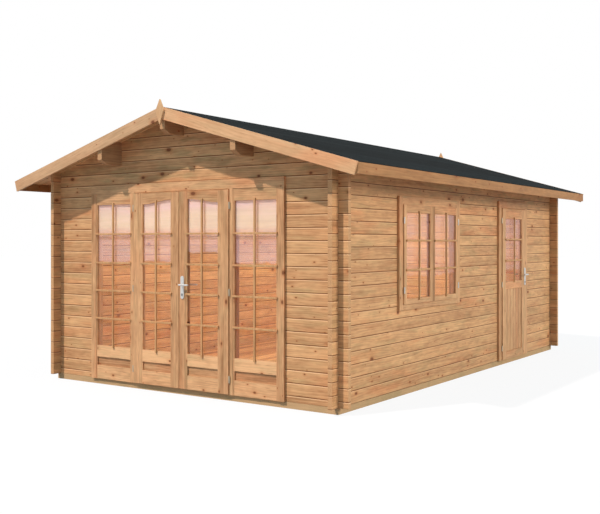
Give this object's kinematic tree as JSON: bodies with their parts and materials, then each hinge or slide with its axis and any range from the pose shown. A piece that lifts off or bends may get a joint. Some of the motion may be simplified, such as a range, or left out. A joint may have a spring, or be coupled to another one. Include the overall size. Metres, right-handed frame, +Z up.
{
  "type": "summer house",
  "caption": "Log cabin summer house with a low gable roof, glazed double doors between sidelights, a side window and a half-glazed side door.",
  "frame": {"origin": "on the ground under the middle of the cabin", "axes": "+Z up, front doors towards -Y, side window and side door towards +X"},
  "size_m": [4.32, 6.1166, 2.833],
  "materials": {
    "log_wood": "planed untreated softwood logs",
    "trim_wood": "planed softwood boards",
    "joinery_wood": "planed softwood joinery",
    "board_wood": "tongued softwood boards",
    "treated_wood": "pressure-treated softwood",
    "roofing_felt": "mineral-faced bitumen felt",
    "window_glass": "clear",
    "steel": "satin"
  },
  "bodies": {
    "cabin": {"base_frame": "treated_wood", "floor": "board_wood", "front_wall_left": "log_wood", "front_wall_right": "log_wood", "front_gable": "log_wood", "back_wall": "log_wood", "left_wall": "log_wood", "right_wall_lower": "log_wood", "right_wall_front": "log_wood", "right_wall_middle": "log_wood", "right_wall_rear": "log_wood", "right_wall_top": "log_wood", "ridge_purlin": "log_wood", "left_purlin": "log_wood", "right_purlin": "log_wood", "roof_deck_left": "board_wood", "roof_deck_right": "board_wood", "roof_felt": "roofing_felt", "front_barge_left": "trim_wood", "front_barge_right": "trim_wood", "back_barge_left": "trim_wood", "back_barge_right": "trim_wood", "left_fascia": "trim_wood", "right_fascia": "trim_wood", "front_finial": "trim_wood", "back_finial": "trim_wood", "front_frame": "joinery_wood", "sidelights": "joinery_wood", "sidelight_glass": "window_glass", "door_hinges": "steel", "window_frame": "joinery_wood", "window_sashes": "joinery_wood", "window_glass": "window_glass", "side_door_frame": "joinery_wood"},
    "front_left_door": {"front_leaf_left": "joinery_wood", "front_glass_left": "window_glass", "front_left_knuckles": "steel"},
    "front_right_door": {"front_leaf_right": "joinery_wood", "front_glass_right": "window_glass", "front_right_knuckles": "steel", "front_handle": "steel"},
    "side_door": {"side_door_leaf": "joinery_wood", "side_door_glass": "window_glass", "side_door_knuckles": "steel", "side_door_handle": "steel"}
  },
  "joints": [
    {"name": "front_left_door_hinge", "type": "hinge", "parent": "cabin", "child": "front_left_door", "pos_m": [-0.624, -2.7835, 0], "axis": [0, 0, -1], "range_deg": [0, 110]},
    {"name": "front_right_door_hinge", "type": "hinge", "parent": "cabin", "child": "front_right_door", "pos_m": [0.624, -2.7835, 0], "axis": [0, 0, 1], "range_deg": [0, 110]},
    {"name": "side_door_hinge", "type": "hinge", "parent": "cabin", "child": "side_door", "pos_m": [1.8335, 0.887, 0], "axis": [0, 0, -1], "range_deg": [0, 110]}
  ]
}
